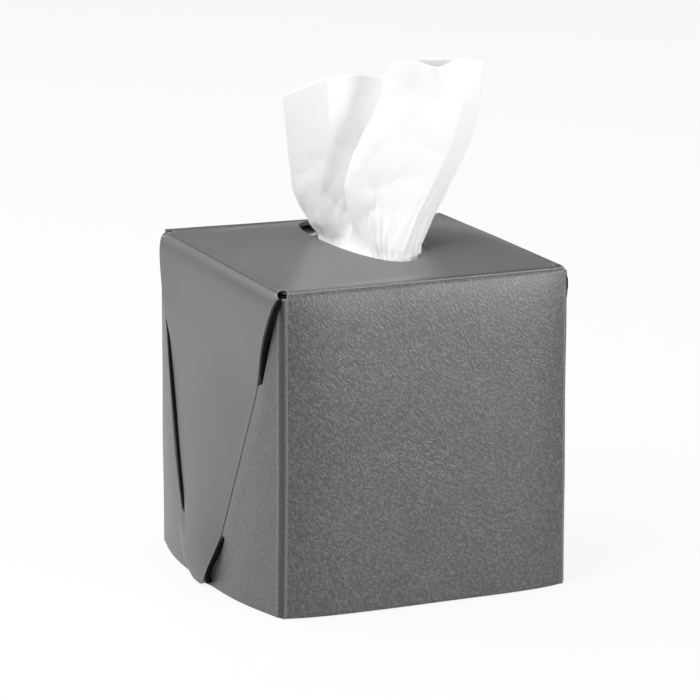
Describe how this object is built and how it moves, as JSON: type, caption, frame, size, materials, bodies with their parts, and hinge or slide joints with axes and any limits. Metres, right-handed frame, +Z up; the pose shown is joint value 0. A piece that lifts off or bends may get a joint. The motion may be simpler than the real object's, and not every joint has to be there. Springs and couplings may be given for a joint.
{
  "type": "tissue box cover",
  "caption": "Cube cover of folded leather over a tissue carton, with an oval top opening, side flaps held by elastic cords, and a raised tissue.",
  "frame": {"origin": "on the table, under the middle of the cover", "axes": "+Z up, front panel faces -Y, left flap faces -X"},
  "size_m": [0.156, 0.1424, 0.225],
  "materials": {
    "leather": "soft satin, pebble grain",
    "elastic_cord": "braided cover, matt",
    "carton_board": "matt coated paperboard, plain",
    "tissue_paper": "soft matt tissue paper"
  },
  "bodies": {
    "carton": {"tissue_carton": "carton_board", "tissue_stack": "tissue_paper"},
    "cover": {"top_panel": "leather", "front_left_cord_knot": "elastic_cord", "back_left_cord_knot": "elastic_cord", "front_right_cord_knot": "elastic_cord", "back_right_cord_knot": "elastic_cord"},
    "tissue": {"pulled_tissue": "tissue_paper"},
    "front": {"front_panel": "leather"},
    "back": {"back_panel": "leather"},
    "left_side": {"left_flap": "leather", "left_elastic_cord": "elastic_cord"},
    "right_side": {"right_flap": "leather", "right_elastic_cord": "elastic_cord"},
    "front_left": {"front_left_wing": "leather"},
    "front_right": {"front_right_wing": "leather"},
    "back_left": {"back_left_wing": "leather"},
    "back_right": {"back_right_wing": "leather"}
  },
  "joints": [
    {"name": "cover_lift", "type": "slide", "parent": "carton", "child": "cover", "axis": [0, 0, 1], "range_m": [0, 0.16]},
    {"name": "tissue_pull", "type": "slide", "parent": "cover", "child": "tissue", "axis": [0, 0, 1], "range_m": [0, 0.1]},
    {"name": "left_flap_fold", "type": "hinge", "parent": "cover", "child": "left_side", "pos_m": [-0.065, 0, 0.139], "axis": [0, 1, 0], "range_deg": [0, 95]},
    {"name": "right_flap_fold", "type": "hinge", "parent": "cover", "child": "right_side", "pos_m": [0.065, 0, 0.139], "axis": [0, -1, 0], "range_deg": [0, 95]},
    {"name": "front_panel_fold", "type": "hinge", "parent": "cover", "child": "front", "pos_m": [0, -0.067, 0.139], "axis": [-1, 0, 0], "range_deg": [0, 90]},
    {"name": "back_panel_fold", "type": "hinge", "parent": "cover", "child": "back", "pos_m": [0, 0.067, 0.139], "axis": [1, 0, 0], "range_deg": [0, 90]},
    {"name": "front_left_wing_fold", "type": "hinge", "parent": "front", "child": "front_left", "pos_m": [-0.065, -0.067, 0.0695], "axis": [0, 0, 1], "range_deg": [0, 90]},
    {"name": "front_right_wing_fold", "type": "hinge", "parent": "front", "child": "front_right", "pos_m": [0.065, -0.067, 0.0695], "axis": [0, 0, -1], "range_deg": [0, 90]},
    {"name": "back_left_wing_fold", "type": "hinge", "parent": "back", "child": "back_left", "pos_m": [-0.065, 0.067, 0.0695], "axis": [0, 0, -1], "range_deg": [0, 90]},
    {"name": "back_right_wing_fold", "type": "hinge", "parent": "back", "child": "back_right", "pos_m": [0.065, 0.067, 0.0695], "axis": [0, 0, 1], "range_deg": [0, 90]}
  ]
}
